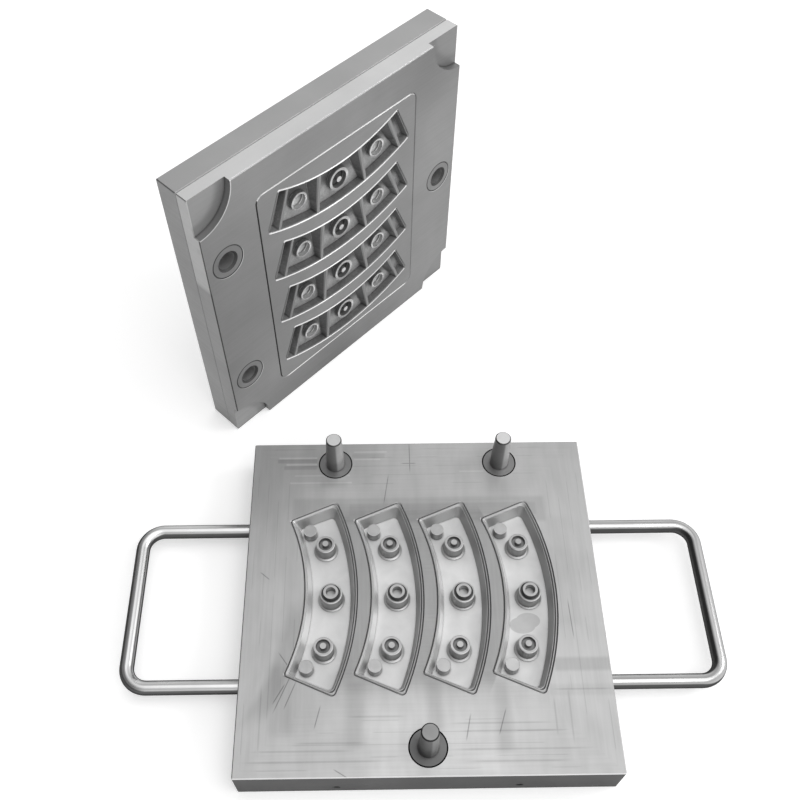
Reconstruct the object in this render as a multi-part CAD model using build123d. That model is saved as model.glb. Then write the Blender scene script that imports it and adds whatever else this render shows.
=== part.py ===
from build123d import *
from math import cos, degrees, hypot, radians, sin, tan
import os

# Compression mould for silicone rubber keypads, drawn as it stands on a bench. The lower half lies flat. The
# upper half is parted from it and stands upright on one edge behind it, its cavity face towards the front.
# Millimetres, +Z up, +Y to the back. The origin is the centre of the lower half's underside.

# Keypad strips. Each is an arc of three keys, hollow side to -X, and four of them are nested along X.
strip_count = 4
strip_pitch = 56.0
strip_radius = 195.5
strip_half_width = 18.8
strip_corner_in = 2.0
strip_corner_out = 4.0

# Lengths along a strip's middle line, from rib to rib: three key cells with a notch at each end.
mid_cell_l = 52.6
end_cell_l = 40.8
end_notch_l = 10.7

# Plates. The rims are what is left of a plate outside the insert's outline.
rim_x = 32.0
rim_y = 57.5
core_plate_h = 40.0
cavity_plate_h = 18.5
backing_plate_h = 23.0
plate_chamfer = 0.8

# Recess of a strip in the lower half: bevelled mouth, drafted walls.
recess_depth = 13.0
recess_widening = 1.0
recess_draft = 15.0
recess_bevel = 1.2

# Fine groove round the mouth of every strip, which tears the flash off.
tear_land = 0.4
tear_width = 1.6

# Posts that core the keys, each pressed into the floor of the recess by a shank.
post_shank_d = 10.0
post_shank_l = 14.0
post_edge = 0.5
post_groove_depth = 3.2
collar_h = 1.2
collar_edge = 0.6
end_post_d = 16.4
end_post_h = 13.4
end_collar_w = 2.1
end_groove_d = 12.0
end_core_d = 5.2
end_core_rise = 1.2
mid_post_d = 18.8
mid_post_h = 13.6
mid_collar_w = 1.7
mid_groove_d = 16.4
mid_groove_depth = 2.0
mid_tube_d = 12.6
mid_tube_bore = 8.4
mid_tube_h = 3.4

# Plain pips near the ends of a strip, placed from its end and from its hollow side.
pip_from_end = 11.95
pip_from_side = 9.8
pip_d = 11.5
pip_h = 9.4
pip_seat = 10.0
pip_edge = 0.3

# Leader pins and their bushes: two behind the strips and one in front, placed from the plate's edges.
guide_d = 16.0
guide_taper = 1.0
guide_taper_h = 26.0
guide_tip_edge = 1.0
guide_short = 0.5
guide_root_d = 31.0
guide_root_l = 28.0
guide_root_edge = 1.2
guide_edge_x = 75.0
guide_edge_y = 22.0
guide_clearance = 0.05
bush_d = 31.0
bush_lead = 2.0
bush_edge = 0.6
vent_clearance = 2.0

# Bent rod handles, pressed into the sides of the lower plate.
handle_rod_d = 12.0
handle_span = 143.0
handle_reach = 96.5
handle_bend = 18.0
handle_seat = 25.0
handle_z = 18.0

# Tapped holes in the front edge of the lower plate.
front_hole_d = 5.0
front_hole_depth = 16.0
front_hole_spread = 143.0
front_hole_z = 11.0
front_hole_bevel = 0.6

# Insert that carries the cavities of the upper half.
insert_margin_x = 8.3
insert_margin_y = 9.46
insert_corner = 8.0
insert_bevel = 0.8
insert_clearance = 0.05

# Cells of a cavity, parted by radial ribs.
rib_thickness = 2.6
cell_depth = 7.0
cell_draft = 1.4
cell_slant = 9.0

# Ring bosses in the key cells. Their bores go a little deeper than the cells.
end_boss_d = 17.6
end_boss_wall = 1.6
mid_boss_d = 22.0
mid_boss_wall = 2.6
mid_boss_core_d = 5.4
boss_rim_depth = 2.8
boss_bore_extra = 1.2

# Pry pockets at the corners of the upper half's parting face.
pocket_radius = 37.0
pocket_depth = 6.3

# Cap screws and dowels that hold the upper half together.
plate_screw_d = 10.0
plate_screw_head_d = 16.0
plate_screw_hex = 8.0
plate_screw_bite = 11.0
plate_screw_edge_x = 45.0
plate_screw_edge_y = 32.0
insert_screw_d = 8.0
insert_screw_head_d = 13.0
insert_screw_hex = 6.0
insert_screw_bite = 10.0
insert_screw_y = 45.0
screw_clearance = 0.5
head_clearance = 0.75
head_recess = 1.0
dowel_d = 10.0
dowel_bite = 12.0
dowel_edge = 16.0

# Place of the upper half on the bench: its turn about Z, and how far its nearest corner stands behind the
# lower half's back face and out past its left side.
upper_turn = 45.4
upper_gap = 40.2
upper_overhang = 19.9

# Derived sizes.
radius_in = strip_radius - strip_half_width
radius_out = strip_radius + strip_half_width
rib_in, rib_out = mid_cell_l / 2, mid_cell_l / 2 + end_cell_l
strip_half_angle = degrees((rib_out + end_notch_l) / strip_radius)
nest = (strip_count - 1) * strip_pitch
field_half_x = (nest + radius_out - radius_in * cos(radians(strip_half_angle))) / 2
field_half_y = radius_out * sin(radians(strip_half_angle))
strip_centres = [field_half_x - nest - radius_out + i * strip_pitch for i in range(strip_count)]
insert_x = 2 * (field_half_x + insert_margin_x)
insert_y = 2 * (field_half_y + insert_margin_y)
plate_x = insert_x + 2 * rim_x
plate_y = insert_y + 2 * rim_y
parting_z = core_plate_h
recess_floor_z = core_plate_h - recess_depth
upper_h = cavity_plate_h + backing_plate_h
guide_x, guide_y = plate_x / 2 - guide_edge_x, plate_y / 2 - guide_edge_y
guide_places = {
    "left": (-guide_x, guide_y),
    "right": (guide_x, guide_y),
    "front": (0.0, -guide_y),
}
seam_z = parting_z + cavity_plate_h
back_z = parting_z + upper_h
ON_BASE = (Align.CENTER, Align.CENTER, Align.MIN)


def polar(radius, angle):
    """Point at a radius and an angle in degrees about a strip's centre of curvature."""
    return radius * cos(radians(angle)), radius * sin(radians(angle))


def arc_degrees(length):
    """Angle that a length makes along a strip's middle line."""
    return degrees(length / strip_radius)


def sector(r_in, r_out, start, end, slant=0.0):
    """Face between two arcs. slant moves the corner at r_in and start along its arc."""
    middle = (start + end) / 2
    near_in = polar(r_in, start + degrees(slant / r_in))
    far_in, near_out, far_out = polar(r_in, end), polar(r_out, start), polar(r_out, end)
    return make_face([
        ThreePointArc(near_in, polar(r_in, middle), far_in),
        Line(far_in, far_out),
        ThreePointArc(far_out, polar(r_out, middle), near_out),
        Line(near_out, near_in),
    ])


def strip_outline(offset):
    """Face of a whole strip about its centre of curvature, grown by offset, with rounded corners."""
    half = strip_half_angle + arc_degrees(offset)
    face = sector(radius_in - offset, radius_out + offset, -half, half)
    face = fillet([v for v in face.vertices() if hypot(v.X, v.Y) < strip_radius], strip_corner_in)
    return fillet(face.vertices().filter_by(lambda v: hypot(v.X, v.Y) > strip_radius), strip_corner_out)


def drafted(top, bottom, depth):
    """Solid between two like outlines, depth apart along +Z."""
    return loft([top, Pos(0, 0, depth) * bottom], ruled=True)


def tear_groove(offset):
    """V groove round a strip's mouth, cut in the +Z direction from z = 0."""
    inner, outer, depth = offset + tear_land, offset + tear_land + tear_width, tear_width / 2
    valley = strip_outline((inner + outer) / 2)
    return drafted(strip_outline(outer), valley, depth) - drafted(strip_outline(inner), valley, depth)


def rod(diameter, length):
    return Cylinder(diameter / 2, length, align=ON_BASE)


def turned(*profile):
    """Solid of revolution about Z from (radius, height) points."""
    return revolve(make_face(Polyline(*[(r, 0, z) for r, z in profile], close=True)), Axis.Z)


def plate(height):
    """Mould plate with all its edges broken."""
    block = Box(plate_x, plate_y, height, align=ON_BASE)
    return chamfer(block.edges(), plate_chamfer)


def key_angles():
    """Name and angle of the three keys of a strip, each in the middle of its cell."""
    angle = arc_degrees((rib_in + rib_out) / 2)
    return {"far": angle, "mid": 0.0, "near": -angle}


def pip_places():
    """Name and place of the two pips of a strip, about its centre of curvature."""
    angle = strip_half_angle - arc_degrees(pip_from_end)
    return {end: polar(radius_in + pip_from_side, side * angle) for end, side in (("far", 1), ("near", -1))}


# Lower half

def recess():
    """Everything that is milled for one strip, cut upwards from z = 0 at the parting face."""
    mouth, inset = recess_widening, recess_depth * tan(radians(recess_draft))
    hollow = drafted(strip_outline(mouth), strip_outline(mouth - inset), recess_depth)
    bevel = drafted(strip_outline(mouth + recess_bevel), strip_outline(mouth), recess_bevel)
    return hollow + bevel + tear_groove(mouth + recess_bevel)


def core_plate():
    """The lower half's one thick plate."""
    body = plate(core_plate_h)
    cutter = Rot(180, 0, 0) * recess()
    tools = []
    for x in strip_centres:
        tools.append(Pos(x, 0, parting_z) * cutter)
        for angle in key_angles().values():
            px, py = polar(strip_radius, angle)
            tools.append(Pos(x + px, py, recess_floor_z - post_shank_l) * rod(post_shank_d, post_shank_l))
        for px, py in pip_places().values():
            tools.append(Pos(x + px, py, recess_floor_z - pip_seat) * rod(pip_d, pip_seat))
    for x, y in guide_places.values():
        tools.append(Pos(x, y, parting_z - guide_root_l) * rod(guide_root_d, guide_root_l))
    for side in (-1, 1):
        for y in (-handle_span / 2, handle_span / 2):
            socket = Rot(0, 90, 0) * Cylinder(handle_rod_d / 2, handle_seat)
            tools.append(Pos(side * (plate_x - handle_seat) / 2, y, handle_z) * socket)
        hole = Rot(-90, 0, 0) * (rod(front_hole_d, front_hole_depth) + front_hole_mouth())
        tools.append(Pos(side * front_hole_spread / 2, -plate_y / 2, front_hole_z) * hole)
    return body - tools


def front_hole_mouth():
    """Countersink at the mouth of a tapped hole."""
    return Cone(front_hole_d / 2 + front_hole_bevel, front_hole_d / 2, front_hole_bevel, align=ON_BASE)


def collared(diameter, collar_w):
    """Profile points shared by the posts: shank, seat and collar, up to the foot of the body."""
    shank, body = post_shank_d / 2, diameter / 2
    collar = body + collar_w
    return [(0, -post_shank_l), (shank, -post_shank_l), (shank, 0), (collar, 0),
            (collar, collar_h - collar_edge), (body + collar_edge / 2, collar_h)]


def end_post():
    """Post of an outer key: a wide ring with a core in its middle."""
    body, groove, core = end_post_d / 2, end_groove_d / 2, end_core_d / 2
    valley = end_post_h - post_groove_depth
    return turned(
        *collared(end_post_d, end_collar_w), (body, end_post_h - post_edge), (body - post_edge, end_post_h),
        (groove, end_post_h), (groove, valley), (core, valley), (core, end_post_h + end_core_rise),
        (0, end_post_h + end_core_rise))


def mid_post():
    """Post of the middle key: a tube standing in a grooved shoulder."""
    body, groove, tube, bore = mid_post_d / 2, mid_groove_d / 2, mid_tube_d / 2, mid_tube_bore / 2
    top = mid_post_h + mid_tube_h
    valley = mid_post_h - mid_groove_depth
    floor = mid_post_h - post_groove_depth
    return turned(
        *collared(mid_post_d, mid_collar_w), (body, mid_post_h - post_edge), (body - post_edge, mid_post_h),
        (groove, mid_post_h), (groove, valley), (tube, valley), (tube, top), (bore, top), (bore, floor),
        (0, floor))


def pip():
    radius = pip_d / 2
    return turned((0, -pip_seat), (radius, -pip_seat), (radius, pip_h - pip_edge), (radius - pip_edge, pip_h),
                  (0, pip_h))


def guide_pin():
    """Leader pin, its root flush with the parting face at z = 0."""
    root, body, tip = guide_root_d / 2, guide_d / 2, guide_d / 2 - guide_taper
    top = upper_h - guide_short
    return turned(
        (0, -guide_root_l), (root, -guide_root_l), (root, -guide_root_edge), (root - guide_root_edge, 0),
        (body, 0), (body, top - guide_taper_h), (tip, top - guide_tip_edge), (tip - guide_tip_edge, top),
        (0, top))


def handle():
    """Right-hand handle, one bent rod with both ends in the plate."""
    inside, outside, half = plate_x / 2 - handle_seat, plate_x / 2 + handle_reach, handle_span / 2
    path = FilletPolyline((inside, half, handle_z), (outside, half, handle_z), (outside, -half, handle_z),
                          (inside, -half, handle_z), radius=handle_bend)
    return sweep(Plane(origin=path @ 0, z_dir=path % 0) * Circle(handle_rod_d / 2), path=path)


# Upper half, drawn closed on the lower half with its parting face down

def cell(start, end, slant):
    """Drafted hollow between two ribs, cut upwards from z = 0."""
    turn = arc_degrees(cell_draft)
    mouth = sector(radius_in, radius_out, start, end)
    floor = sector(radius_in + cell_draft, radius_out - cell_draft, start + turn, end - turn, slant)
    return drafted(mouth, floor, cell_depth)


def cavity_insert():
    """Block with four cavities of five cells, and the bosses that stand in the key cells."""
    block = Pos(0, 0, parting_z) * Box(insert_x, insert_y, cavity_plate_h, align=ON_BASE)
    block = fillet(block.edges().filter_by(Axis.Z), insert_corner)
    block = chamfer(block.faces().sort_by(Axis.Z)[0].edges(), insert_bevel)
    rib, inner, outer = (arc_degrees(length) for length in (rib_thickness / 2, rib_in, rib_out))
    hollows = [
        cell(-strip_half_angle, -outer - rib, 0),
        cell(-outer + rib, -inner - rib, cell_slant),
        cell(-inner + rib, inner - rib, cell_slant),
        cell(inner + rib, outer - rib, cell_slant),
        cell(outer + rib, strip_half_angle, 0),
        tear_groove(0),
    ]
    block -= [Pos(x, 0, parting_z) * hollow for x in strip_centres for hollow in hollows]
    bosses, bores, cores = [], [], []
    for x in strip_centres:
        for key, angle in key_angles().items():
            px, py = polar(strip_radius, angle)
            middle = key == "mid"
            boss_d, wall = (mid_boss_d, mid_boss_wall) if middle else (end_boss_d, end_boss_wall)
            place = Pos(x + px, py, parting_z + boss_rim_depth)
            rise = cell_depth + boss_bore_extra - boss_rim_depth
            bosses.append(place * rod(boss_d, rise))
            bores.append(place * rod(boss_d - 2 * wall, rise))
            if middle:
                cores.append(place * rod(mid_boss_core_d, rise))
    block = block + bosses - bores + cores
    return block - insert_screw_holes()


def insert_screw_places():
    """Places between the strips, halfway between the first pair and the last pair."""
    sag = strip_radius - (strip_radius ** 2 - insert_screw_y ** 2) ** 0.5
    gaps = [x + strip_radius + strip_pitch / 2 - sag for x in (strip_centres[0], strip_centres[-2])]
    return [(x, y) for x in gaps for y in (-insert_screw_y, insert_screw_y)]


def insert_screw_holes():
    return [Pos(x, y, seam_z) * Rot(180, 0, 0) * rod(insert_screw_d, insert_screw_bite)
            for x, y in insert_screw_places()]


def plate_screw_places():
    x, y = plate_x / 2 - plate_screw_edge_x, plate_y / 2 - plate_screw_edge_y
    return [(-x, -y), (x, -y), (-x, y), (x, y)]


def dowel_places():
    x = plate_x / 2 - dowel_edge
    return [(-x, 0.0), (x, 0.0)]


def cavity_plate():
    """Frame plate round the insert, with the bush bores and the pry pockets."""
    body = Pos(0, 0, parting_z) * plate(cavity_plate_h)
    gap = 2 * insert_clearance
    window = Box(insert_x + gap, insert_y + gap, cavity_plate_h, align=ON_BASE)
    window = fillet(window.edges().filter_by(Axis.Z), insert_corner + insert_clearance)
    mouth = window.faces().sort_by(Axis.Z)[0]
    wide = offset(mouth, insert_bevel)
    tools = [Pos(0, 0, parting_z) * window, Pos(0, 0, parting_z) * drafted(wide, mouth, insert_bevel)]
    tools += [Pos(x, y, parting_z) * rod(bush_d, cavity_plate_h) for x, y in guide_places.values()]
    for side_x in (-1, 1):
        for side_y in (-1, 1):
            corner = Pos(side_x * plate_x / 2, side_y * plate_y / 2, parting_z)
            tools.append(corner * rod(2 * pocket_radius, pocket_depth))
    down = Rot(180, 0, 0)
    screw_hole_below = down * rod(plate_screw_d, plate_screw_bite)
    dowel_hole = down * rod(dowel_d, dowel_bite)
    tools += [Pos(x, y, seam_z) * screw_hole_below for x, y in plate_screw_places()]
    tools += [Pos(x, y, seam_z) * dowel_hole for x, y in dowel_places()]
    return body - tools


def backing_plate():
    """Plain plate that closes the back of the upper half."""
    body = Pos(0, 0, seam_z) * plate(backing_plate_h)
    vent_d = guide_d + vent_clearance
    tools = [Pos(x, y, seam_z) * rod(vent_d, backing_plate_h) for x, y in guide_places.values()]
    plate_hole = screw_hole(plate_screw_d, plate_screw_head_d)
    insert_hole = screw_hole(insert_screw_d, insert_screw_head_d)
    tools += [Pos(x, y, seam_z) * plate_hole for x, y in plate_screw_places()]
    tools += [Pos(x, y, seam_z) * insert_hole for x, y in insert_screw_places()]
    tools += [Pos(x, y, seam_z) * rod(dowel_d, dowel_bite) for x, y in dowel_places()]
    return body - tools


def screw_grip(size):
    """Height from the seam to the seat of a cap screw's head, which is as tall as its thread is thick."""
    return backing_plate_h - head_recess - size


def screw_hole(size, head_d):
    """Clearance hole through the backing plate, counterbored from its back for the screw's head."""
    seat = screw_grip(size)
    shank = rod(size + 2 * screw_clearance, backing_plate_h)
    return shank + Pos(0, 0, seat) * rod(head_d + 2 * head_clearance, backing_plate_h - seat)


def cap_screw(size, head_d, hex_width, bite):
    """Socket cap screw pointing down, with the seam between the plates at z = 0."""
    socket = extrude(RegularPolygon(hex_width / 2, 6, major_radius=False), size / 2)
    head = rod(head_d, size) - Pos(0, 0, size / 2) * socket
    return Pos(0, 0, screw_grip(size)) * head + Pos(0, 0, -bite) * rod(size, screw_grip(size) + bite)


def guide_bush():
    """Bush from its mouth at z = 0 up to the seam between the plates."""
    outer, bore = bush_d / 2, guide_d / 2 + guide_clearance
    return turned((bore + bush_lead, 0), (outer - bush_edge, 0), (outer, bush_edge), (outer, cavity_plate_h),
                  (bore, cavity_plate_h), (bore, bush_lead))


def group(screw, places, z):
    return Compound([Pos(x, y, z) * screw for x, y in places])


def stand_upright(shape):
    """Turn the upper half from its closed place to its place on the bench, on one of its X edges."""
    across, along = sin(radians(upper_turn)), cos(radians(upper_turn))
    origin_x = plate_y / 2 * along + parting_z * across - plate_x / 2 - upper_overhang
    origin_y = plate_y / 2 * across - parting_z * along + plate_y / 2 + upper_gap
    bench = Plane(origin=(origin_x, origin_y, plate_x / 2), x_dir=(0, 0, -1), z_dir=(-across, along, 0))
    return bench.location * shape


def lower_half():
    nodes = {"core_plate": core_plate()}
    posts = {"far": end_post(), "mid": mid_post(), "near": end_post()}
    for number, x in enumerate(strip_centres, 1):
        for key, angle in key_angles().items():
            px, py = polar(strip_radius, angle)
            nodes[f"core_post_{number}_{key}"] = Pos(x + px, py, recess_floor_z) * posts[key]
        for end, (px, py) in pip_places().items():
            nodes[f"pip_{number}_{end}"] = Pos(x + px, py, recess_floor_z) * pip()
    for name, (x, y) in guide_places.items():
        nodes[f"guide_pin_{name}"] = Pos(x, y, parting_z) * guide_pin()
    nodes["handle_right"] = handle()
    nodes["handle_left"] = mirror(handle(), Plane.YZ)
    return nodes


def upper_half():
    nodes = {
        "cavity_plate": cavity_plate(),
        "cavity_insert": cavity_insert(),
        "backing_plate": backing_plate(),
    }
    for name, (x, y) in guide_places.items():
        nodes[f"guide_bush_{name}"] = Pos(x, y, parting_z) * guide_bush()
    plate_screw = cap_screw(plate_screw_d, plate_screw_head_d, plate_screw_hex, plate_screw_bite)
    insert_screw = cap_screw(insert_screw_d, insert_screw_head_d, insert_screw_hex, insert_screw_bite)
    nodes["plate_screws"] = group(plate_screw, plate_screw_places(), seam_z)
    nodes["insert_screws"] = group(insert_screw, insert_screw_places(), seam_z)
    nodes["plate_dowels"] = group(rod(dowel_d, 2 * dowel_bite), dowel_places(), seam_z - dowel_bite)
    return {name: stand_upright(shape) for name, shape in nodes.items()}


os.makedirs("parts", exist_ok=True)
for node, shape in (lower_half() | upper_half()).items():
    export_step(shape, f"parts/{node}.step")
    box = shape.bounding_box()
    print(node, len(shape.solids()), round(shape.volume), [round(c, 2) for c in (*box.min, *box.max)])
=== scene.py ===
from math import hypot, radians

import bpy
from mathutils import Matrix, Vector


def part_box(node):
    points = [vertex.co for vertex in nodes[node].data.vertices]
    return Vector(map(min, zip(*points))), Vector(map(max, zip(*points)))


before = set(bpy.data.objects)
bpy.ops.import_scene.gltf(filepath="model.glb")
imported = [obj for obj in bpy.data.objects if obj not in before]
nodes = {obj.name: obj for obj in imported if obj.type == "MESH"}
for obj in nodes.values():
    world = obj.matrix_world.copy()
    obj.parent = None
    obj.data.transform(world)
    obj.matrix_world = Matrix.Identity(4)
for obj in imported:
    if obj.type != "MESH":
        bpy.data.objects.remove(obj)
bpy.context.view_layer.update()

# The finishes of an open mould for silicone keypads. Each steel face gets what its own making left on
# it: face milled, ground, turned, spark eroded or polished. Many faces also get painted light and
# shade: lighter tops and floors, painted highlights on edges, painted reflections, and painted shade
# in corners, holes and on faces turned from the light. Patterns are worked out in millimetres along
# the axes of the closed mould, as its halves are machined, so those of the standing upper half are
# turned with it.

MM = 0.001

# Sizes that the finishes follow, in millimetres.
cavity_plate_h = 18.5
recess_depth = 13.0
strip_pitch = 56.0
strip_radius = 195.5
front_hole_x = 71.5
front_hole_z = 11.0
front_hole_mouth = 3.1
front_hole_depth = 16.0
insert_half_x = 118.0
insert_half_y = 92.5
insert_corner = 8.0
mid_cell_half = 26.0
bush_radius = 15.5
bush_places = ((-75.0, 128.0), (75.0, 128.0), (0.0, -128.0))
pocket_radius = 37.0
pocket_depth = 6.3
pin_h = 41.0

# Depths in a cavity, from the parting face.
ring_rim_depth = 2.8
cell_depth = 7.0
ring_bore_depth = 8.2
end_ring_bore_radius = 7.2

# Heights on the posts and pips, above the floor of their recess.
pip_top = 9.4
end_groove_floor = 10.2
mid_bore_floor = 10.4
mid_groove_floor = 11.6

# Cutter and grinding lines of the plates, and turning lines: how far apart, and how long. The real ones
# lie 0.1 to 0.3 mm apart, so these are drawn as coarse as they need to be to show.
milled_pitch = 1.8
milled_length = 90.0
turned_pitch = 0.9
ground_pitch = 1.2
turned_length = 60.0

# A place past every edge of the mould, for masks that run on without an end.
beyond = 200.0

# Noise lies round 0.5. Between these values it is drawn out to a mask from 0 to 1.
noise_low = 0.3
noise_high = 0.7


def centre(node):
    """Middle of a node's box, in metres."""
    low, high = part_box(node)
    return (low + high) / 2


half_x, half_y, parting = (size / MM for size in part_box("core_plate")[1])
recess_floor = parting - recess_depth
seam = parting + cavity_plate_h
first_arc_x = centre("core_post_1_mid").x / MM

# The ring bosses of the outer keys stand over the outer posts when the mould is closed.
end_posts = [node for node in nodes if node.startswith("core_post") and not node.endswith("mid")]
end_ring_places = [(centre(node).x / MM, centre(node).y / MM) for node in end_posts]

# Axes of the closed mould as they lie in the standing upper half: X points down, Z into the half.
into_upper = (centre("backing_plate") - centre("cavity_plate")).normalized()
down = Vector((0.0, 0.0, -1.0))
to_closed = Matrix((down, into_upper.cross(down), into_upper))
closed_turn = to_closed.to_euler("XYZ")
closed_middle = Vector((0.0, 0.0, parting + cavity_plate_h / 2))
closed_shift = closed_middle - to_closed @ centre("cavity_plate") / MM


def srgb(hex_code):
    """Linear red, green and blue of an sRGB hex value."""
    shares = [int(hex_code[i:i + 2], 16) / 255 for i in (0, 2, 4)]
    return [s / 12.92 if s <= 0.04045 else ((s + 0.055) / 1.055) ** 2.4 for s in shares]


def add(tree, kind, inputs=None, **settings):
    """Add a node and give its first output. Each input is a number, or the output that feeds it."""
    node = tree.nodes.new("ShaderNode" + kind)
    for name, value in settings.items():
        setattr(node, name, value)
    for socket, value in (inputs or {}).items():
        if isinstance(value, bpy.types.NodeSocket):
            tree.links.new(value, node.inputs[socket])
        else:
            node.inputs[socket].default_value = value
    return node.outputs[0]


def new_finish(name, upper=False):
    """Start a material. Gives it, its tree, and the place in millimetres and the normal of a point of
    the surface, both along the closed mould's axes."""
    material = bpy.data.materials.new(name)
    material.use_nodes = True
    tree = material.node_tree
    turn, shift = (closed_turn, closed_shift) if upper else ((0.0, 0.0, 0.0), (0.0, 0.0, 0.0))
    seat = add(tree, "TexCoord").node.outputs
    scale = (1 / MM, 1 / MM, 1 / MM)
    place = add(tree, "Mapping", {"Vector": seat["Object"], "Location": shift, "Rotation": turn,
                                  "Scale": scale})
    normal = add(tree, "Mapping", {"Vector": seat["Normal"], "Rotation": turn}, vector_type="VECTOR")
    return material, tree, place, normal


def mark(*masks, tone=1.0, rougher=0.0, raised=0.0):
    """What the making left, and the painted light and shade, where all the masks are full: a factor on
    the colour, a change of roughness and a height in millimetres."""
    return masks, tone, rougher, raised


def finish(material, hex_code, marks, metallic, roughness):
    """Feed the shader: the bare steel's colour times the tone of every mark, and its roughness and
    height plus theirs, each by the product of the mark's masks."""
    tree = material.node_tree
    shader = tree.nodes["Principled BSDF"]
    shader.inputs["Metallic"].default_value = metallic
    colour, rough, height = 1.0, roughness, 0.0
    for masks, tone, rougher, raised in marks:
        mask = masks[0]
        for other in masks[1:]:
            mask = add(tree, "Math", {0: mask, 1: other}, operation="MULTIPLY")
        factor = add(tree, "Math", {0: mask, 1: tone - 1.0, 2: 1.0}, operation="MULTIPLY_ADD")
        colour = add(tree, "Math", {0: factor, 1: colour}, operation="MULTIPLY")
        if rougher:
            rough = add(tree, "Math", {0: mask, 1: rougher, 2: rough}, operation="MULTIPLY_ADD")
        if raised:
            height = add(tree, "Math", {0: mask, 1: raised, 2: height}, operation="MULTIPLY_ADD")
    colour = add(tree, "VectorMath", {0: srgb(hex_code), "Scale": colour}, operation="SCALE")
    tree.links.new(colour, shader.inputs["Base Color"])
    if isinstance(rough, bpy.types.NodeSocket):
        tree.links.new(rough, shader.inputs["Roughness"])
    else:
        shader.inputs["Roughness"].default_value = rough
    if isinstance(height, bpy.types.NodeSocket):
        bump = add(tree, "Bump", {"Height": height, "Distance": MM})
        tree.links.new(bump, shader.inputs["Normal"])


def stretch(tree, value, low, high, soft):
    """Mask that is 1 while value lies from low to high, its ends softened over soft. The smooth step
    holds it from 0 to 1 by itself, and a clamp beside it would fill the shader's memory."""
    rise = add(tree, "MapRange", {0: value, 1: low - soft / 2, 2: low + soft / 2},
               interpolation_type="SMOOTHSTEP", clamp=False)
    fall = add(tree, "MapRange", {0: value, 1: high + soft / 2, 2: high - soft / 2},
               interpolation_type="SMOOTHSTEP", clamp=False)
    return add(tree, "Math", {0: rise, 1: fall}, operation="MULTIPLY")


def near(tree, value, level, slack):
    """Mask that is 1 where value is within slack of a level."""
    return stretch(tree, value, level - slack, level + slack, 0.1)


def oval(tree, place, middle, half):
    """Mask of a soft oval, 1 in its middle and falling evenly to 0 at its rim, at any depth."""
    any_depth = 1e4
    local = add(tree, "Mapping", {"Vector": place, "Location": (*middle, 0.0),
                                  "Scale": (*half, any_depth)}, vector_type="TEXTURE")
    return add(tree, "TexGradient", {"Vector": local}, gradient_type="SPHERICAL")


def lay(tree, across, run, pitch, length):
    """Mask of tool lines: noise squeezed to pitch across the lay and drawn out to length along it."""
    line = add(tree, "Math", {0: across, 1: pitch}, operation="DIVIDE")
    drawn = add(tree, "Math", {0: run, 1: length}, operation="DIVIDE")
    spot = add(tree, "CombineXYZ", {0: line, 1: drawn})
    noise = add(tree, "TexNoise", {"Vector": spot, "Scale": 1.0, "Detail": 2.0},
                noise_dimensions="2D")
    return add(tree, "MapRange", {0: noise, 1: noise_low, 2: noise_high})


def clouds(tree, place, size):
    """Mask of broad uneven patches about size across, as wiping, oil and handling leave them."""
    noise = add(tree, "TexNoise", {"Vector": place, "Scale": 1 / size, "Detail": 3.0,
                                   "Distortion": 0.4})
    return add(tree, "MapRange", {0: noise, 1: noise_low, 2: noise_high})


def occlusion_shade(tree, reach):
    """Mask of painted shade in corners and crevices and where parts come close, from ambient occlusion,
    up to reach in millimetres from them.
    """
    open_air = add(tree, "AmbientOcclusion", {"Distance": reach * MM}, samples=6).node.outputs["AO"]
    return add(tree, "MapRange", {0: open_air, 1: 0.95, 2: 0.4})


def hairlines(tree, x, y, lines, width):
    """Mask of straight lines in the parting face, each from one point to another and width across. A
    point's distance along a line and aside from it are its x and y turned to the line's direction."""
    drawn = 0.0
    for (x0, y0), (x1, y1) in lines:
        length = hypot(x1 - x0, y1 - y0)
        east, north = (x1 - x0) / length, (y1 - y0) / length
        along = add(tree, "Math", {0: x, 1: east, 2: -x0 * east - y0 * north},
                    operation="MULTIPLY_ADD")
        along = add(tree, "Math", {0: y, 1: north, 2: along}, operation="MULTIPLY_ADD")
        aside = add(tree, "Math", {0: x, 1: -north, 2: x0 * north - y0 * east},
                    operation="MULTIPLY_ADD")
        aside = add(tree, "Math", {0: y, 1: east, 2: aside}, operation="MULTIPLY_ADD")
        inside = stretch(tree, along, 0.0, length, length * 0.3)
        thin = stretch(tree, aside, -width / 2, width / 2, width * 0.8)
        line = add(tree, "Math", {0: inside, 1: thin}, operation="MULTIPLY")
        drawn = add(tree, "Math", {0: line, 1: drawn}, operation="MAXIMUM")
    return drawn


def shade(tree, x, y, patches):
    """Share of the light that soft-edged patches of the parting face take: 1 less the product of their
    tones, below 0 where they are lighter. A patch is its left, right, front and back, the width of its
    soft edge, and its tone."""
    kept = 1.0
    for left, right, front, back, soft, tone in patches:
        inside = stretch(tree, y, front, back, soft)
        inside = add(tree, "Math", {0: stretch(tree, x, left, right, soft), 1: inside},
                     operation="MULTIPLY")
        inside = add(tree, "Math", {0: inside, 1: tone - 1.0, 2: 1.0}, operation="MULTIPLY_ADD")
        kept = add(tree, "Math", {0: inside, 1: kept}, operation="MULTIPLY")
    return add(tree, "Math", {0: 1.0, 1: kept}, operation="SUBTRACT")


def nearest(tree, level, places):
    """Distance of a point of a face to the nearest of some places on it."""
    shortest = 1000.0
    for at in places:
        apart = add(tree, "VectorMath", {0: level, 1: (*at, 0.0)}, operation="DISTANCE")
        apart = apart.node.outputs["Value"]
        shortest = add(tree, "Math", {0: apart, 1: shortest}, operation="MINIMUM")
    return shortest


# The share of a face's normal that points up or down, from flat faces by bevels at 45 degrees and
# walls with draft to upright walls.
slope_shares = {
    "flat": (0.9, 2.0),
    "slanted": (0.5, 0.9),
    "drafted": (0.15, 0.5),
    "upright": (-1.0, 0.15),
}


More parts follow.
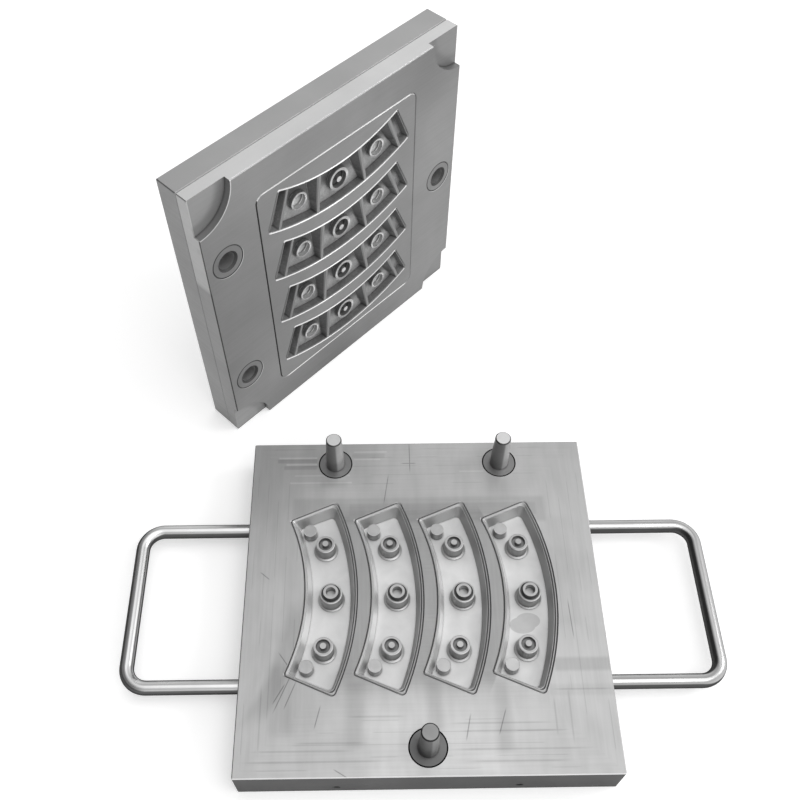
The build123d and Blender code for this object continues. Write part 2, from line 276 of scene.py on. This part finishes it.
def slopes(tree, normal, *kinds):
    """Masks of the faces of each slope that is named."""
    up = add(tree, "SeparateXYZ", {0: normal}).node.outputs["Z"]
    up = add(tree, "Math", {0: up}, operation="ABSOLUTE")
    return [stretch(tree, up, *slope_shares[kind], 0.02) for kind in kinds]


def facing(tree, normal, towards, low, high):
    """Mask from 0 to 1 as the share of a face's normal towards a direction goes from low to high."""
    share = add(tree, "VectorMath", {0: normal, 1: towards}, operation="DOT_PRODUCT")
    return add(tree, "MapRange", {0: share.node.outputs["Value"], 1: low, 2: high},
               interpolation_type="SMOOTHSTEP", clamp=False)


def lane(tree, x, y):
    """How far right of the first arc's middle line a point lies: its x and the arc's radius, less the
    first arc's x and the root of the radius squared less y squared. The arcs repeat along it."""
    squared = add(tree, "Math", {0: y, 1: 2.0}, operation="POWER")
    chord = add(tree, "Math", {0: strip_radius ** 2, 1: squared}, operation="SUBTRACT")
    bulge = add(tree, "Math", {0: chord, 1: 0.5}, operation="POWER")
    shifted = add(tree, "Math", {0: x, 1: strip_radius - first_arc_x}, operation="ADD")
    return add(tree, "Math", {0: shifted, 1: bulge}, operation="SUBTRACT")


# Soft patches of the parting face, light and dark: steps of the cutter's last passes, a smear, darker
# bands, painted shade and painted reflections: left, right, front, back, width of the soft edge, tone.
parting_patches = [
    # Bands behind the arcs, and right of their front ends.
    (-112.0, 112.0, 67.0, 92.0, 5.0, 0.85),
    (-62.0, 104.0, 74.0, 86.0, 3.0, 0.90),
    (104.0, 160.0, -69.0, -58.0, 4.0, 0.82),
    (98.0, 160.0, -89.0, -80.0, 4.0, 0.92),
    # Painted dark reflections: streaks in front of the arcs.
    (-64.0, -50.0, -128.0, -76.0, 8.0, 0.84),
    (0.0, 12.0, -116.0, -76.0, 8.0, 0.86),
    (54.0, 66.0, -132.0, -76.0, 8.0, 0.84),
    (-124.0, -104.0, -118.0, -62.0, 10.0, 0.88),
    # Painted shade: the darker back left corner, and the shade round the pins behind.
    (-160.0, -104.0, 60.0, 160.0, 60.0, 0.78),
    (62.0, 84.0, 92.0, 112.0, 12.0, 0.90),
    (-108.0, -40.0, 105.0, 160.0, 26.0, 0.88),
    # Steps of the cutter beside the pins behind, with dark and light edges.
    (-128.0, -92.0, 129.5, 133.5, 1.5, 0.82),
    (-122.0, -92.0, 122.5, 126.5, 1.5, 0.84),
    (-127.0, -92.0, 134.0, 135.6, 1.2, 1.25),
    (-120.0, -92.0, 127.0, 128.6, 1.2, 1.25),
    (-116.0, -60.0, 107.5, 109.0, 1.2, 1.20),
    (-58.0, -28.0, 140.0, 141.5, 1.2, 1.18),
    (-58.0, -34.0, 132.0, 133.5, 1.2, 1.18),
    (-112.0, -62.0, 115.0, 116.5, 1.2, 1.16),
    (-60.0, -30.0, 134.0, 139.0, 2.0, 0.90),
    (38.0, 60.0, 118.0, 119.5, 1.2, 1.12),
    # Wide changes: lighter on the left and in front, darker right of the arcs and in the right corners.
    (-160.0, -112.0, -30.0, 14.0, 30.0, 1.06),
    (112.0, 130.0, -30.0, 70.0, 10.0, 0.94),
    (-50.0, 62.0, -160.0, -96.0, 40.0, 1.13),
    (92.0, 180.0, -180.0, -100.0, 40.0, 0.90),
    (70.0, 180.0, 96.0, 180.0, 40.0, 0.93),
    # Smear in front of the left pin.
    (-88.0, -64.0, 104.0, 110.0, 6.0, 0.86),
]

# Scratches in the parting face, each from one point to another.
scratches = [
    ((-27.0, 114.0), (-31.0, 88.0)),
    ((-88.0, -112.0), (-84.0, -96.0)),
    ((30.0, -122.0), (34.0, -104.0)),
    ((56.0, -118.0), (62.0, -100.0)),
    ((-7.0, 148.0), (-7.0, 120.0)),
    ((-72.0, -144.0), (-62.0, -150.0)),
    ((-108.0, -70.0), (-120.0, -98.0)),
    ((122.0, -10.0), (123.0, -40.0)),
    ((-137.0, 20.0), (-130.0, 14.0)),
    ((-100.0, -62.0), (-106.0, -72.0)),
    ((-104.0, -76.0), (-112.0, -96.0)),
    ((-118.0, -52.0), (-108.0, -66.0)),
    ((-113.0, -78.0), (-121.0, -92.0)),
    ((96.0, -58.0), (92.0, -68.0)),
    ((-14.0, 128.0), (-2.0, 128.0)),
]

# Steps that the face mill left in front of the arcs, where one pass runs beside the last.
cutter_steps = [
    ((-131.0, -82.0), (-131.0, -130.0)),
    ((-131.0, -130.0), (-62.0, -130.0)),
    ((-100.0, -124.0), (-50.0, -124.0)),
    ((26.0, -130.0), (121.0, -130.0)),
    ((113.0, -86.0), (113.0, -124.0)),
    ((101.0, -92.0), (101.0, -118.0)),
    ((30.0, -116.0), (101.0, -116.0)),
    ((22.0, -110.0), (92.0, -110.0)),
    ((-135.0, -138.0), (-36.0, -138.0)),
    ((36.0, -139.0), (104.0, -139.0)),
    ((-60.0, -104.0), (-20.0, -104.0)),
    ((104.0, -84.0), (146.0, -84.0)),
]


def cutter_paths(tree, ring, run):
    """Masks of the cutter's paths and of where they are unbroken. The fraction of ring over the pitch is
    a line near a half, and it shows where noise drawn out along the run is high."""
    pitch = 9.3
    unbroken_width = 8.0
    unbroken_length = 45.0
    lines = add(tree, "Math", {0: ring, 1: pitch}, operation="DIVIDE")
    lines = add(tree, "Math", {0: lines}, operation="FRACT")
    lines = stretch(tree, lines, 0.46, 0.53, 0.04)
    aside = add(tree, "Math", {0: ring, 1: unbroken_width}, operation="DIVIDE")
    along = add(tree, "Math", {0: run, 1: unbroken_length}, operation="DIVIDE")
    broken = add(tree, "CombineXYZ", {0: aside, 1: along})
    broken = add(tree, "TexNoise", {"Vector": broken, "Scale": 1.0, "Detail": 0.0},
                 noise_dimensions="2D")
    return lines, stretch(tree, broken, 0.55, 2.0, 0.06)


def lower_plate_steel():
    """Face-milled tool steel: cutter paths run round the plate's middle in rectangles, with scratches,
    cutter steps and a stain. Painted shade darkens the sides, the front holes, corners, bevels turned
    from the light and walls facing left; painted light brightens walls facing right, the front bevel and
    the recess floors; soft patches of the parting face add painted shade and painted reflections."""
    material, tree, place, normal = new_finish("face_milled_tool_steel")
    x, y, z = add(tree, "SeparateXYZ", {0: place}).node.outputs
    flat, slanted, drafted, upright = slopes(tree, normal, "flat", "slanted", "drafted", "upright")
    top = near(tree, z, parting, 0.1)
    floor = near(tree, z, recess_floor, 0.3)
    wide = add(tree, "Math", {0: x}, operation="ABSOLUTE")
    deep = add(tree, "Math", {0: y}, operation="ABSOLUTE")
    # Ring is how far from the middle the cutter's rectangle through a point lies, and run is how far
    # along its side the point is.
    ring = add(tree, "Math", {0: wide, 1: deep}, operation="MAXIMUM")
    crosswise = add(tree, "Math", {0: deep, 1: wide}, operation="GREATER_THAN")
    run = add(tree, "Mix", {0: crosswise, 2: y, 3: x})
    across = lane(tree, x, y)
    corner = occlusion_shade(tree, 1.6)
    left_walls = facing(tree, normal, (1.0, 0.0, 0.0), 0.3, 0.6)
    right_walls = facing(tree, normal, (-1.0, 0.0, 0.0), 0.3, 0.6)
    away_from_light = facing(tree, normal, (-0.75, 0.66, 0.0), 0.2, 0.5)
    front_edge = near(tree, y, -half_y, 1.0)
    hole = add(tree, "CombineXYZ", {0: wide, 2: z})
    hole = add(tree, "VectorMath", {0: hole, 1: (front_hole_x, 0.0, front_hole_z)},
               operation="DISTANCE")
    hole = stretch(tree, hole.node.outputs["Value"], -1.0, front_hole_mouth + 0.05, 0.2)
    hole_run = stretch(tree, y, -half_y - 1.0, -half_y + front_hole_depth + 2.0, 1.0)
    milled = lay(tree, ring, run, milled_pitch, milled_length)
    wiped = lay(tree, x, y, pitch=9.0, length=42.0)
    lands = stretch(tree, across, 20.0, 148.0, 2.0)
    beside_first = stretch(tree, across, -36.0, -20.0, 9.0)
    stain = add(tree, "Math", {0: oval(tree, place, (84.0, -25.0), (14.0, 9.5)),
                               1: oval(tree, place, (89.0, -21.0), (13.0, 9.0))}, operation="MAXIMUM")
    marks = [
        # Painted shade: the plate's sides and other upright faces are painted nearly black.
        mark(upright, tone=0.08, rougher=0.1),
        mark(drafted, tone=1.05),
        # Painted light on the recess walls facing right, painted shade on those facing left.
        mark(drafted, left_walls, tone=1.45),
        mark(drafted, right_walls, tone=0.84),
        # Painted shade on bevels turned from the light.
        mark(slanted, away_from_light, tone=0.38, rougher=0.1),
        # Painted highlight on the front bevel.
        mark(slanted, front_edge, tone=1.5),
        # Painted shade inside the front holes.
        mark(hole, hole_run, tone=0.12, rougher=0.2),
        # Painted light on the recess floors.
        mark(floor, flat, tone=1.43, rougher=0.05),
        mark(floor, flat, clouds(tree, place, 16.0), tone=0.90, rougher=0.05),
        mark(top, milled, tone=0.97, rougher=0.05, raised=0.003),
        mark(top, wiped, tone=0.94, rougher=0.03),
        mark(clouds(tree, place, 60.0), tone=0.90, rougher=0.06),
        # Painted shade in corners and on the bevels beside them.
        mark(corner, tone=0.45, rougher=0.1),
        mark(slanted, corner, tone=0.45, rougher=0.1),
        mark(top, *cutter_paths(tree, ring, run), stretch(tree, ring, 100.0, 146.0, 2.0), tone=0.88,
             rougher=0.05),
        # Painted dark reflections on the lands between the arcs and beside the first arc.
        mark(top, lands, stretch(tree, y, -80.0, 78.0, 22.0), tone=0.74, rougher=0.05),
        mark(top, beside_first, stretch(tree, y, -104.0, -12.0, 26.0), tone=0.82, rougher=0.05),
        # The patches: cutter steps and a smear, with painted shade and painted reflections.
        mark(top, shade(tree, x, y, parting_patches), tone=0.0),
        mark(floor, stretch(tree, stain, 0.22, 2.0, 0.06), tone=0.80, rougher=0.1),
        mark(top, hairlines(tree, x, y, scratches, width=0.8), tone=0.60, rougher=0.1),
        mark(top, hairlines(tree, x, y, cutter_steps, width=1.3), tone=0.84, rougher=0.05),
    ]
    finish(material, "c2c2c2", marks, metallic=0.7, roughness=0.40)
    return material


def upper_steel(name, hex_code, end_light_tone):
    """Ground tool steel of the upper half's plates, with black oil in seams and a lighter streak on the
    left side. Painted light brightens the end faces and the bevels, painted highlights lie on the rim of
    one pocket, the bush seats and the insert's window, and painted shade lies on the left edge, near a
    pocket's wall, over parts of the face and in corners."""
    material, tree, place, normal = new_finish(name, upper=True)
    x, y, z = add(tree, "SeparateXYZ", {0: place}).node.outputs
    flat, slanted = slopes(tree, normal, "flat", "slanted")
    ends = stretch(tree, add(tree, "Math", {0: x}, operation="ABSOLUTE"), half_x - 0.05, beyond, 0.05)
    pocket = near(tree, z, parting + pocket_depth, 1.0)
    left_half = stretch(tree, y, 0.0, beyond, 1.0)
    left_edge = near(tree, y, half_y, 1.0)
    face = near(tree, z, parting, 0.3)
    level = add(tree, "CombineXYZ", {0: x, 1: y})
    seam_round_bush = stretch(tree, nearest(tree, level, bush_places), bush_radius - 1.0,
                              bush_radius + 0.5, 0.3)
    # Painted highlight: the glint is seen on one side of a bush, so its ring lies a little aside.
    bush_glint_places = [(a + 0.8, b - 0.5) for a, b in bush_places]
    bush_glint = stretch(tree, nearest(tree, level, bush_glint_places), bush_radius - 0.3, bush_radius + 0.4, 0.3)
    quarter = add(tree, "VectorMath", {0: level}, operation="ABSOLUTE")
    from_corner = nearest(tree, quarter, [(half_x, half_y)])
    pocket_rim = stretch(tree, from_corner, pocket_radius, pocket_radius + 0.9, 0.4)
    window_glint = (stretch(tree, x, insert_half_x, insert_half_x + 1.4, 0.3),
                  stretch(tree, y, insert_corner - insert_half_y, insert_half_y - insert_corner, 4.0))
    # A lighter, smoother streak on the left side of the cavity plate, its edge ragged by noise.
    streak_noise = add(tree, "TexNoise", {"Vector": place, "Scale": 0.04, "Detail": 2.0})
    side_streak = (stretch(tree, streak_noise, 0.34, 2.0, 0.16), left_edge, stretch(tree, x, -beyond, -54.0, 8.0),
            stretch(tree, z, parting - 1.0, seam - 0.4, 0.1))
    marks = [
        # Painted light on the end faces, as on a top lit from above, and a painted highlight on the
        # bevels.
        mark(ends, tone=end_light_tone),
        mark(slanted, tone=1.3),
        # Painted shade on the bevel of the left edge at the parting face.
        mark(slanted, left_edge, near(tree, z, parting, 1.5), tone=0.22, rougher=0.2),
        mark(pocket, flat, tone=0.92),
        mark(pocket, flat, left_half, tone=1.36),
        mark(*side_streak, tone=1.55, rougher=-0.05),
        # Painted shade inside the pocket, near its wall.
        mark(pocket, flat, stretch(tree, from_corner, 27.0, 33.0, 6.0), tone=0.82),
        # Painted highlights on the upper left pocket's rim, on one side of each bush and on the window's
        # lower lip.
        mark(face, left_half, stretch(tree, x, -beyond, 0.0, 1.0), pocket_rim, tone=2.4),
        mark(face, bush_glint, tone=2.4),
        mark(face, seam_round_bush, tone=0.22, rougher=0.1),
        mark(face, *window_glint, tone=3.0, rougher=-0.05),
        # Painted shade at the top right and at the bottom of the face.
        mark(face, oval(tree, place, (-150.0, -115.0), (75.0, 100.0)), tone=0.72),
        mark(face, oval(tree, place, (150.0, 20.0), (60.0, 150.0)), tone=0.66),
        mark(lay(tree, x, y, milled_pitch, milled_length), tone=0.975, rougher=0.04, raised=0.003),
        mark(clouds(tree, place, 70.0), tone=0.88, rougher=0.05),
        # Painted shade in corners and crevices, from ambient occlusion.
        mark(occlusion_shade(tree, 2.0), tone=0.45, rougher=0.1),
    ]
    finish(material, hex_code, marks, metallic=0.7, roughness=0.42)
    return material


def cavity_steel():
    """Tool steel of the insert: a milled face and spark-eroded cells that are matt and dark. Painted
    highlights lie on the edges facing up and down and on the boss rims in the cells' upper parts;
    painted light on the cell floors, the end notches, inside the end rings and at the feet of walls
    facing left; painted shade over the cells' upper parts, in the mid bores, on the edges at the ends
    and the left side, and in corners."""
    material, tree, place, normal = new_finish("spark_eroded_tool_steel", upper=True)
    x, y, z = add(tree, "SeparateXYZ", {0: place}).node.outputs
    flat, slanted, drafted, upright = slopes(tree, normal, "flat", "slanted", "drafted", "upright")
    face = near(tree, z, parting, 1.0)
    cells = stretch(tree, z, parting + 1.0, parting + ring_bore_depth + 4.0, 0.1)
    rims = near(tree, z, parting + ring_rim_depth, 0.5)
    bores = near(tree, z, parting + ring_bore_depth, 0.6)
    foot = stretch(tree, z, parting + cell_depth - 0.7, parting + cell_depth - 0.1, 0.3)
    facing_left = facing(tree, normal, (0.0, 1.0, 0.0), 0.3, 0.4)
    square = add(tree, "VectorMath", {0: normal}, operation="ABSOLUTE")
    lengthwise = add(tree, "SeparateXYZ", {0: square}).node.outputs["X"]
    lengthwise = stretch(tree, lengthwise, 0.4, 2.0, 0.02)
    ends = add(tree, "Math", {0: x}, operation="ABSOLUTE")
    ends = stretch(tree, ends, insert_half_x - 1.5, beyond, 0.2)
    left_seam = stretch(tree, y, insert_half_y - 1.5, beyond, 0.2)
    outwards = add(tree, "Math", {0: y}, operation="ABSOLUTE")
    level = add(tree, "CombineXYZ", {0: x, 1: y})
    inside_end_rings = stretch(tree, nearest(tree, level, end_ring_places), -1.0,
                               end_ring_bore_radius + 0.2, 0.2)
    in_mid_cells = stretch(tree, y, -mid_cell_half, mid_cell_half, 1.0)
    end_notches = stretch(tree, outwards, 66.0, beyond, 10.0)
    # Upper part of each cell, where a painted shadow falls across the floor.
    aside = add(tree, "Math", {0: lane(tree, x, y), 1: -strip_pitch / 2, 2: strip_pitch / 2},
                operation="WRAP")
    upper_shade_and_glint = add(tree, "MapRange", {0: aside, 1: 7.0, 2: -7.0}, interpolation_type="SMOOTHSTEP")
    marks = [
        mark(face, flat, tone=0.94),
        mark(cells, tone=0.45, rougher=0.05),
        mark(cells, upright, tone=2.0),
        mark(cells, drafted, tone=1.5),
        # Painted light on the cell floors; painted shadow over their upper parts, where the boss rims
        # keep a painted highlight.
        mark(cells, flat, tone=3.9),
        mark(cells, flat, upper_shade_and_glint, tone=0.30),
        mark(rims, flat, tone=0.8),
        mark(rims, flat, upper_shade_and_glint, tone=4.6),
        # Painted shade in the mid bores; painted light inside the end rings, in the end notches and at
        # the feet of walls facing left.
        mark(bores, flat, in_mid_cells, tone=0.40, rougher=0.1),
        mark(cells, inside_end_rings, tone=2.1),
        mark(cells, drafted, end_notches, tone=1.6),
        mark(cells, foot, facing_left, tone=2.6),
        # Painted highlights on edges facing up and down; painted shade on the edges at the ends and
        # along the left side.
        mark(slanted, face, lengthwise, tone=3.2, rougher=-0.1),
        mark(slanted, face, ends, tone=0.70),
        mark(slanted, face, left_seam, tone=0.22, rougher=0.2),
        mark(lay(tree, x, y, milled_pitch, milled_length), tone=0.975, rougher=0.04, raised=0.003),
        mark(clouds(tree, place, 70.0), tone=0.88, rougher=0.05),
        mark(cells, clouds(tree, place, 9.0), tone=0.80),
        mark(cells, clouds(tree, place, 1.8), tone=0.72),
        mark(cells, tone=1.12),
        # Painted shade in corners and crevices, from ambient occlusion.
        mark(occlusion_shade(tree, 2.0), tone=0.50, rougher=0.1),
    ]
    finish(material, "8c8c8c", marks, metallic=0.6, roughness=0.45)
    return material


def turned_steel():
    """Turned tool steel of the posts and pips: painted light on the tops and the mid bores' floors,
    painted highlights on the corners, and painted shade on the sides, in the grooves and in corners.
    """
    material, tree, place, normal = new_finish("turned_tool_steel")
    x, _, z = add(tree, "SeparateXYZ", {0: place}).node.outputs
    flat, slanted, upright = slopes(tree, normal, "flat", "slanted", "upright")
    marks = [
        # Painted light on the tops and the mid bores' floors, painted shade in the grooves.
        mark(flat, stretch(tree, z, parting + 0.2, parting + 6.0, 0.1), tone=1.20, rougher=-0.05),
        mark(flat, near(tree, z, recess_floor + pip_top, 0.2), tone=1.25),
        mark(flat, near(tree, z, recess_floor + end_groove_floor, 0.1), tone=0.60, rougher=0.1),
        mark(flat, near(tree, z, recess_floor + mid_groove_floor, 0.2), tone=0.40, rougher=0.1),
        mark(flat, near(tree, z, recess_floor + mid_bore_floor, 0.1), tone=1.40),
        # Painted highlight on the corners, painted shade on the sides.
        mark(slanted, tone=1.70, rougher=-0.08),
        mark(upright, tone=0.66),
        mark(lay(tree, z, x, turned_pitch, turned_length), tone=0.90, rougher=0.04, raised=0.003),
        mark(clouds(tree, place, 9.0), tone=0.88, rougher=0.05),
        # Painted shade in corners, from ambient occlusion.
        mark(occlusion_shade(tree, 1.6), tone=0.60, rougher=0.1),
    ]
    finish(material, "b0b0b0", marks, metallic=0.8, roughness=0.35)
    return material


def pin_steel():
    """Hardened, ground leader pins: smooth, with black oil in the seam round the root and a darker
    chamfer at the tip. The back pins' roots carry a painted dark reflection; painted light lies on the
    tips and the sides facing right, painted shade on the other sides, over the front pin and in corners.
    """
    material, tree, place, normal = new_finish("hardened_pin_steel")
    x, y, z = add(tree, "SeparateXYZ", {0: place}).node.outputs
    flat, slanted, upright = slopes(tree, normal, "flat", "slanted", "upright")
    root = stretch(tree, z, parting - 2.0, parting + 0.4, 0.1)
    tip = near(tree, z, parting + pin_h, 3.0)
    back_pins = stretch(tree, y, -60.0, 160.0, 1.0)
    front_pin = stretch(tree, y, -160.0, -60.0, 1.0)
    marks = [
        # Painted dark reflection on the back pins' roots; black oil in the seam round each root.
        mark(root, flat, back_pins, tone=0.68, rougher=0.05),
        mark(root, slanted, tone=0.12, rougher=0.1),
        # Painted light on the tips, with a darker chamfer round them.
        mark(tip, flat, tone=2.0, rougher=0.12),
        mark(tip, slanted, tone=0.25),
        # Painted shade on the sides, a painted highlight on the sides facing right, and the front pin
        # painted darker as in shade.
        mark(upright, tone=0.68),
        mark(upright, facing(tree, normal, (1.0, 0.0, 0.0), 0.10, 0.35), tone=2.15),
        mark(front_pin, tone=0.43, rougher=0.05),
        mark(lay(tree, z, x, ground_pitch, turned_length), tone=0.95, rougher=0.03),
        mark(clouds(tree, place, 20.0), tone=0.88, rougher=0.05),
        # Painted shade in corners, from ambient occlusion.
        mark(occlusion_shade(tree, 2.0), tone=0.50, rougher=0.1),
    ]
    finish(material, "a8a8a8", marks, metallic=0.9, roughness=0.34)
    return material


def bush_steel():
    """Hardened, ground guide bushes and dowels: a face as grey as the plate, a dark seam and a smooth
    bore."""
    material, tree, place, normal = new_finish("hardened_bush_steel", upper=True)
    x, _, z = add(tree, "SeparateXYZ", {0: place}).node.outputs
    flat, slanted, upright = slopes(tree, normal, "flat", "slanted", "upright")
    marks = [
        mark(flat, tone=0.38, rougher=0.05),
        mark(slanted, tone=0.14, rougher=0.25),
        mark(upright, tone=0.78, rougher=0.15),
        mark(lay(tree, z, x, ground_pitch, turned_length), tone=0.94, rougher=0.03, raised=0.002),
        mark(clouds(tree, place, 20.0), tone=0.90, rougher=0.05),
    ]
    finish(material, "cccccc", marks, metallic=0.9, roughness=0.35)
    return material


def bar_steel():
    """Polished round bar: a clear gloss, a painted highlight on top of the left handle, and painted
    shade on the side turned from the light and where the bar nears other parts."""
    material, tree, place, normal = new_finish("polished_round_bar")
    x = add(tree, "SeparateXYZ", {0: place})
    left_handle = stretch(tree, x, -400.0, -100.0, 1.0)
    marks = [
        # Painted highlight on top of the left handle, and painted shade on the side turned from the
        # light.
        mark(facing(tree, normal, (0.0, -0.3, 0.95), 0.55, 0.85), left_handle, tone=1.6),
        mark(facing(tree, normal, (0.35, 0.0, 0.94), 0.76, 0.60), tone=0.18, rougher=0.15),
        mark(clouds(tree, place, 25.0), tone=0.90, rougher=0.05),
        # Painted shade where the bar nears other parts, from ambient occlusion.
        mark(occlusion_shade(tree, 4.0), tone=0.50, rougher=0.1),
    ]
    finish(material, "bcbcbc", marks, metallic=1.0, roughness=0.26)
    # The rims of a round bar are seen at a low angle, and are dark in such light.
    shader = tree.nodes["Principled BSDF"]
    shader.inputs["Specular Tint"].default_value = (0.25, 0.25, 0.25, 1.0)
    return material


def screw_steel():
    """Blackened alloy steel of the cap screws: dark and satin."""
    material, tree, place, _ = new_finish("blackened_screw_steel", upper=True)
    marks = [
        mark(clouds(tree, place, 6.0), tone=0.75, rougher=0.1),
        # Painted shade in corners, from ambient occlusion.
        mark(occlusion_shade(tree, 2.0), tone=0.5, rougher=0.1),
    ]
    finish(material, "3a3a3c", marks, metallic=0.6, roughness=0.40)
    return material


finishes = {
    ("core_plate",): lower_plate_steel(),
    ("core_post", "pip"): turned_steel(),
    ("guide_pin",): pin_steel(),
    ("guide_bush", "plate_dowels"): bush_steel(),
    ("handle",): bar_steel(),
    ("cavity_plate",): upper_steel("ground_cavity_plate_steel", "8c8c8c", end_light_tone=2.8),
    ("backing_plate",): upper_steel("ground_backing_plate_steel", "8c8c8c", end_light_tone=1.75),
    ("cavity_insert",): cavity_steel(),
    ("plate_screws", "insert_screws"): screw_steel(),
}
for starts, material in finishes.items():
    for name, node in nodes.items():
        if name.startswith(starts):
            for slot in node.material_slots:
                slot.material = material


def stage():
    """White paper floor. Its own glow is seen directly and in the steel, and lights nothing."""
    half = 6.0
    corners = [(-half, -half, 0), (half, -half, 0), (half, half, 0), (-half, half, 0)]
    mesh = bpy.data.meshes.new("floor")
    mesh.from_pydata(corners, [], [(0, 1, 2, 3)])
    floor = bpy.data.objects.new("floor", mesh)
    bpy.context.scene.collection.objects.link(floor)
    paper = bpy.data.materials.new("white_paper")
    paper.use_nodes = True
    tree = paper.node_tree
    shader = tree.nodes["Principled BSDF"]
    shader.inputs["Base Color"].default_value = (*srgb("e8e8e8"), 1.0)
    shader.inputs["Roughness"].default_value = 0.9
    shader.inputs["Specular IOR Level"].default_value = 0.0
    rays = add(tree, "LightPath").node.outputs
    seen = add(tree, "Math", {0: rays["Is Camera Ray"], 1: rays["Is Glossy Ray"]}, operation="MAXIMUM")
    seen = add(tree, "Math", {0: seen, 1: rays["Is Transmission Ray"]}, operation="MAXIMUM")
    glow = add(tree, "Math", {0: seen, 1: 0.4}, operation="MULTIPLY")
    shader.inputs["Emission Color"].default_value = (1.0, 1.0, 1.0, 1.0)
    tree.links.new(glow, shader.inputs["Emission Strength"])
    mesh.materials.append(paper)


def sky():
    """Studio walls and ceiling: white low down, greyer above, brightest overhead, and dim on the left,
    where the strength falls from 1.2 to 0.2."""
    world = bpy.data.worlds.new("studio")
    bpy.context.scene.world = world
    world.use_nodes = True
    tree = world.node_tree
    heading = add(tree, "SeparateXYZ", {0: add(tree, "TexCoord")}).node.outputs
    ramp = add(tree, "ValToRGB", {0: heading["Z"]}).node
    ramp.color_ramp.interpolation = "EASE"
    points = ramp.color_ramp.elements
    points[0].color = (1.0, 1.0, 1.0, 1.0)
    points[1].color = (1.3, 1.3, 1.3, 1.0)
    for position, value in ((0.5, 0.85), (0.8, 0.45)):
        points.new(position).color = (value, value, value, 1.0)
    side = add(tree, "MapRange", {0: heading["X"], 1: -0.75, 2: 0.05, 3: 0.2, 4: 1.2},
               interpolation_type="SMOOTHSTEP")
    tree.links.new(ramp.outputs[0], tree.nodes["Background"].inputs["Color"])
    tree.links.new(side, tree.nodes["Background"].inputs["Strength"])


def softbox(name, place, aim, size, power):
    """Square studio lamp at a place, turned to what it is aimed at. Metres and watts."""
    lamp = bpy.data.lights.new(name, "AREA")
    lamp.size = size
    lamp.energy = power
    box = bpy.data.objects.new(name, lamp)
    bpy.context.scene.collection.objects.link(box)
    box.location = place
    box.rotation_euler = (Vector(aim) - Vector(place)).to_track_quat("-Z", "Y").to_euler()


stage()
sky()
softbox("overhead", place=(0.8, -0.6, 2.4), aim=(0.0, 0.0, 0.0), size=1.4, power=14.0)
softbox("right", place=(2.0, 0.3, 1.6), aim=(0.0, 0.1, 0.1), size=0.8, power=12.0)

# Camera of the photograph, found from the corners of both halves. It looks down at 56.231 degrees.
camera_data = bpy.data.cameras.new("camera")
camera_data.sensor_width = 36.0
camera_data.lens = 42.58
camera_data.shift_x = 0.01996
camera_data.shift_y = 0.03215
camera = bpy.data.objects.new("camera", camera_data)
bpy.context.scene.collection.objects.link(camera)
camera.location = (-0.03671, -0.32649, 0.78242)
camera.rotation_euler = (radians(90 - 56.231), 0.0, radians(-0.780))
bpy.context.scene.camera = camera
bpy.context.scene.view_settings.view_transform = "Standard"
